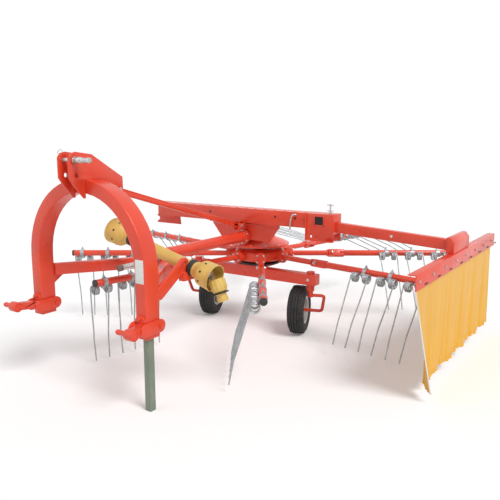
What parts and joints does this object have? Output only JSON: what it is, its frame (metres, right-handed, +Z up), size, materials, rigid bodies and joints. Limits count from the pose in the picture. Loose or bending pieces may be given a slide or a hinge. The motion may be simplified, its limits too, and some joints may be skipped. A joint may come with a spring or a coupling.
{
  "type": "rotary hay rake",
  "caption": "Three-point mounted single-rotor hay rake: arched headstock, drive tube, tine-arm rotor, castor wheels, swath curtain and stowed drive shaft.",
  "frame": {"origin": "middle of the bounding box, on the ground the wheels and the stand rest on", "axes": "+Z up, -Y to the tractor (direction of travel), +X to the machine's left, where the curtain hangs"},
  "size_m": [3.1367, 3.464, 1.393],
  "materials": {
    "red_paint": "gloss paint, orange-red",
    "stand_paint": "satin paint, grey-green",
    "rim_paint": "satin paint, light grey",
    "bright_steel": "zinc plated",
    "spring_steel": "galvanised spring wire",
    "tyre_rubber": "black rubber",
    "black_plastic": "matt black",
    "yellow_plastic": "moulded, slightly worn",
    "curtain_cloth": "coated woven cloth, yellow"
  },
  "bodies": {
    "frame": {"cam_plate": "black_plastic", "centre_column": "red_paint", "far_fork": "red_paint", "frame_strut_left": "red_paint", "frame_strut_right": "red_paint", "gearbox": "red_paint", "guide_channel": "red_paint", "guide_screw": "bright_steel", "headplate": "red_paint", "headstock_arch": "red_paint", "input_stub": "bright_steel", "lower_foot_left": "red_paint", "lower_foot_right": "red_paint", "lower_pin_left": "red_paint", "lower_pin_right": "red_paint", "main_tube": "red_paint", "near_guide": "red_paint", "pto_bell_far": "yellow_plastic", "pto_bell_near": "yellow_plastic", "pto_clutch": "yellow_plastic", "pto_guard_tube": "yellow_plastic", "pto_rest": "red_paint", "pto_yoke_far": "bright_steel", "pto_yoke_near": "bright_steel", "stay_bolt_front": "bright_steel", "stay_bolt_rear": "bright_steel", "top_link_ears": "red_paint", "top_link_pin": "bright_steel", "top_stay": "red_paint", "wheel_beam": "red_paint"},
    "rotor": {"rotor_hub": "red_paint", "arm_shaft_1": "red_paint", "arm_shaft_2": "red_paint", "arm_shaft_3": "red_paint", "arm_shaft_4": "red_paint", "arm_shaft_5": "red_paint", "arm_shaft_6": "red_paint", "arm_shaft_7": "red_paint", "arm_shaft_8": "red_paint", "tine_arm_1": "spring_steel", "tine_arm_2": "spring_steel", "tine_arm_3": "spring_steel", "tine_arm_4": "spring_steel", "tine_arm_5": "spring_steel", "tine_arm_6": "spring_steel", "tine_arm_7": "spring_steel", "tine_arm_8": "spring_steel"},
    "parking_stand": {"parking_stand": "stand_paint"},
    "castor_left": {"castor_leg_left": "red_paint"},
    "castor_right": {"castor_leg_right": "red_paint"},
    "wheel_left": {"rim_left": "rim_paint", "tyre_left": "tyre_rubber"},
    "wheel_right": {"rim_right": "rim_paint", "tyre_right": "tyre_rubber"},
    "curtain_slide": {"curtain_slide": "red_paint", "slide_end": "red_paint", "curtain_rail": "red_paint", "curtain": "curtain_cloth"}
  },
  "joints": [
    {"name": "rotor_spin", "type": "hinge", "parent": "frame", "child": "rotor", "pos_m": [-0.0915, 0.213, 0.56], "axis": [0, 0, 1], "continuous": true},
    {"name": "stand_lift", "type": "slide", "parent": "frame", "child": "parking_stand", "axis": [0, 0, 1], "range_m": [0, 0.25]},
    {"name": "castor_swivel_left", "type": "hinge", "parent": "frame", "child": "castor_left", "pos_m": [0.4385, 0.093, 0.4], "axis": [0, 0, 1], "continuous": true},
    {"name": "castor_swivel_right", "type": "hinge", "parent": "frame", "child": "castor_right", "pos_m": [-0.6215, 0.093, 0.4], "axis": [0, 0, 1], "continuous": true},
    {"name": "wheel_spin_left", "type": "hinge", "parent": "castor_left", "child": "wheel_left", "pos_m": [0.33303, 0.11304, 0.184], "axis": [0.9563, 0.2924, 0], "continuous": true},
    {"name": "wheel_spin_right", "type": "hinge", "parent": "castor_right", "child": "wheel_right", "pos_m": [-0.54527, 0.16859, 0.184], "axis": [0.9563, 0.2924, 0], "continuous": true},
    {"name": "curtain_reach", "type": "slide", "parent": "frame", "child": "curtain_slide", "axis": [0.9982, 0, -0.0599], "range_m": [0, 0.3]}
  ]
}
